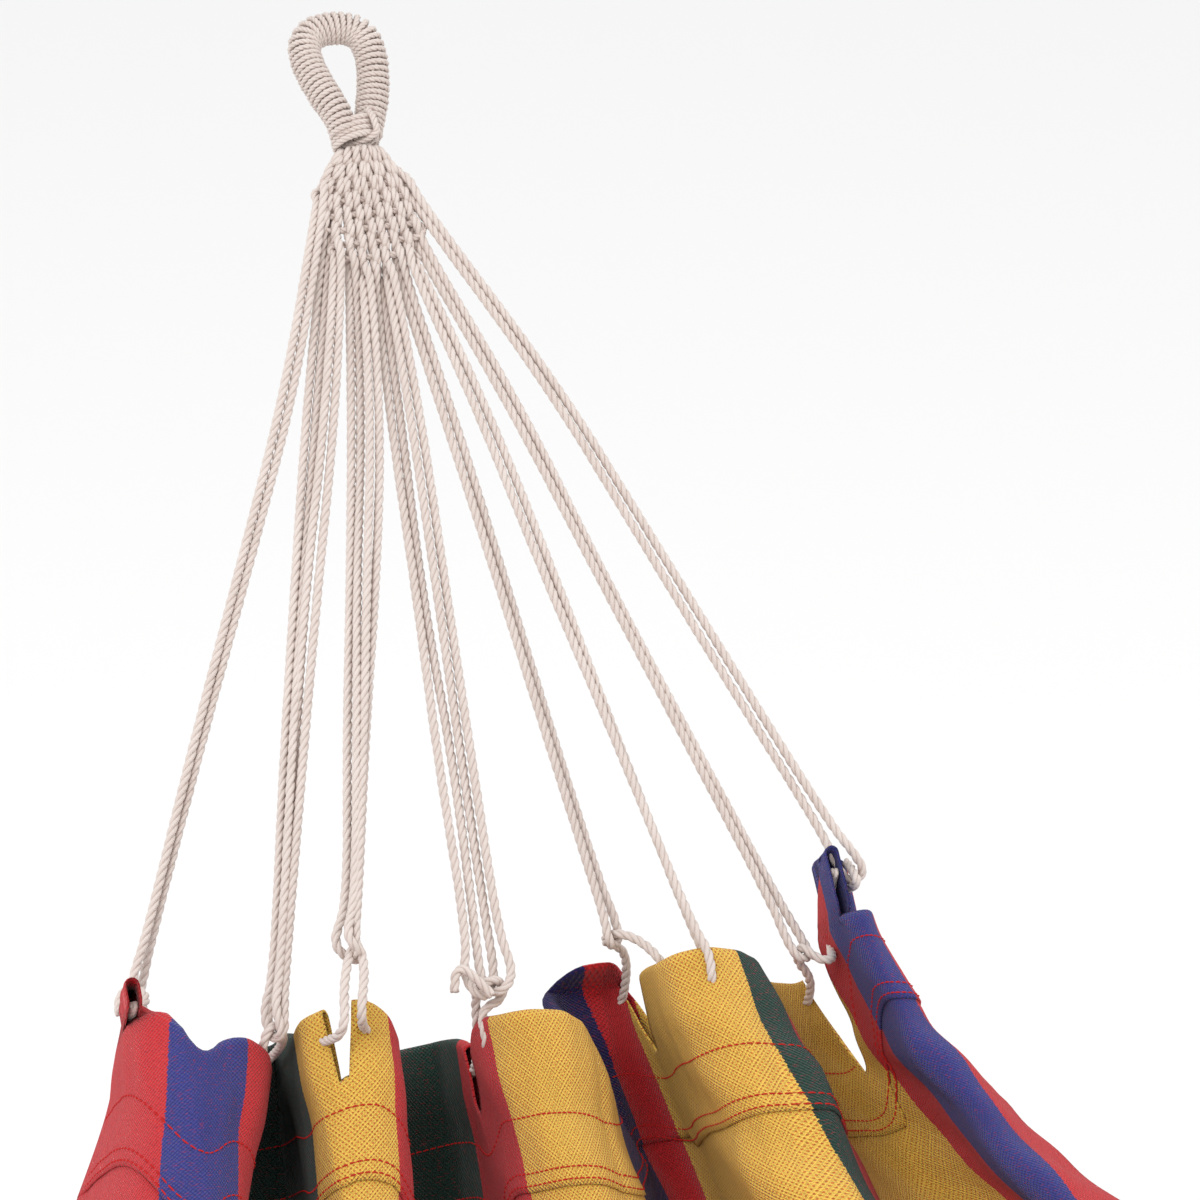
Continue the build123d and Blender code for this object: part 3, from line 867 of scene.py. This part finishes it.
def coil(line, reach, pitch, per_turn=26):
    """A line wound round another line, as far off it as reach gives."""

    def at_turns(values):
        return np.stack([np.interp(even, run, values[:, i]) for i in range(3)], axis=1)

    run = np.concatenate([[0], np.cumsum(np.linalg.norm(np.diff(line, axis=0), axis=1))])
    _, first, second = carried_frames(line)
    count = int(run[-1] / pitch * per_turn)
    even = np.linspace(0, run[-1], count)
    turn = 2 * math.pi * even / pitch
    reach = np.interp(even, run, reach)[:, None]
    first_part = np.cos(turn)[:, None] * unit(at_turns(first))
    second_part = np.sin(turn)[:, None] * unit(at_turns(second))
    return at_turns(line) + reach * (first_part + second_part)


def build_eye(end, foot):
    """The eye's core and its wrapping, and the whipping round the throat."""
    line = smooth_route(row(EYE_LINE, foot), EYE_STEP / 1000)
    core = paint(joined(f"{end}_eye_bundle", [tube_grid(line, EYE_BUNDLE_RADIUS / 1000, 16)]), ROPE_LOOK)
    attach(core, f"{end}_eye")
    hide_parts(f"{end}_eye_core")

    # The wrapping draws in towards the throat at both ends.
    share = np.linspace(0, 1, len(line))
    reach = WRAP_RADIUS - WRAP_CORD - 1.3 * np.clip(1 - np.minimum(share, 1 - share) / 0.14, 0, 1)
    reach = reach + 0.12 * np.sin(share * 90)
    wound = coil(line, reach / 1000, WRAP_PITCH / 1000)
    wrap = laid_rope(f"{end}_eye_wrapping", f"{end}_eye", wound, WRAP_CORD, WRAP_LAY, sides=6)
    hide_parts(f"{end}_eye_wrap")

    turns = np.linspace(0, 1, BAND_TURNS * 40)
    angle = turns * 2 * math.pi * BAND_TURNS - 2.2
    across = BAND_ACROSS * np.cos(angle)
    inside = BAND_INSIDE * np.sin(angle)
    down = THROAT_TOP + BAND_DEPTH * turns - BAND_TILT * across
    band = np.stack([across, inside, down], axis=1)[::4]
    band_line = smooth_route(row(band.tolist() + BAND_END, foot), BAND_STEP / 1000)
    seizing = laid_rope(f"{end}_throat_band", f"{end}_eye", band_line, BAND_CORD, BAND_LAY, sides=6)
    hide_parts(f"{end}_throat_seizing")


for end, foot in (("head", False), ("foot", True)):
    build_clew(end, foot)
    build_stitches(end, foot)

# ---- floor, light and camera ----
bpy.ops.mesh.primitive_plane_add(size=60, location=(SPAN / 2000, 0, FLOOR_LEVEL))
floor = paint(bpy.context.object, plain_material("pale floor", (0.92, 0.92, 0.92), 1.0))
floor.name = "floor"

bpy.context.scene.view_settings.view_transform = "Standard"
world = bpy.context.scene.world or bpy.data.worlds.new("world")
bpy.context.scene.world = world
world.use_nodes = True
world.node_tree.nodes["Background"].inputs["Color"].default_value = (1, 1, 1, 1)
world.node_tree.nodes["Background"].inputs["Strength"].default_value = 0.95


def softbox(name, place, aim, size, power):
    lamp = bpy.data.lights.new(name, "AREA")
    lamp.shape = "SQUARE"
    lamp.size = size
    lamp.energy = power
    obj = bpy.data.objects.new(name, lamp)
    obj.location = place
    obj.rotation_euler = (Vector(aim) - Vector(place)).to_track_quat("-Z", "Y").to_euler()
    bpy.context.scene.collection.objects.link(obj)


softbox("key light", (2.2, -2.0, 2.6), (0.3, 0, -0.3), 1.6, 60)
softbox("fill light", (2.0, 2.6, 1.0), (0.3, 0, -0.3), 2.0, 18)

azimuth = math.radians(CAMERA_AZIMUTH)
elevation = math.radians(CAMERA_ELEVATION)
level = math.cos(elevation)
back = Vector((level * math.sin(azimuth), -level * math.cos(azimuth), math.sin(elevation)))
lens = bpy.data.cameras.new("camera")
lens.lens = CAMERA_LENS
lens.sensor_width = 36
camera = bpy.data.objects.new("camera", lens)
camera.location = Vector(CAMERA_TARGET) + CAMERA_DISTANCE * back
camera.rotation_euler = back.to_track_quat("Z", "Y").to_euler()
bpy.context.scene.collection.objects.link(camera)
bpy.context.scene.camera = camera
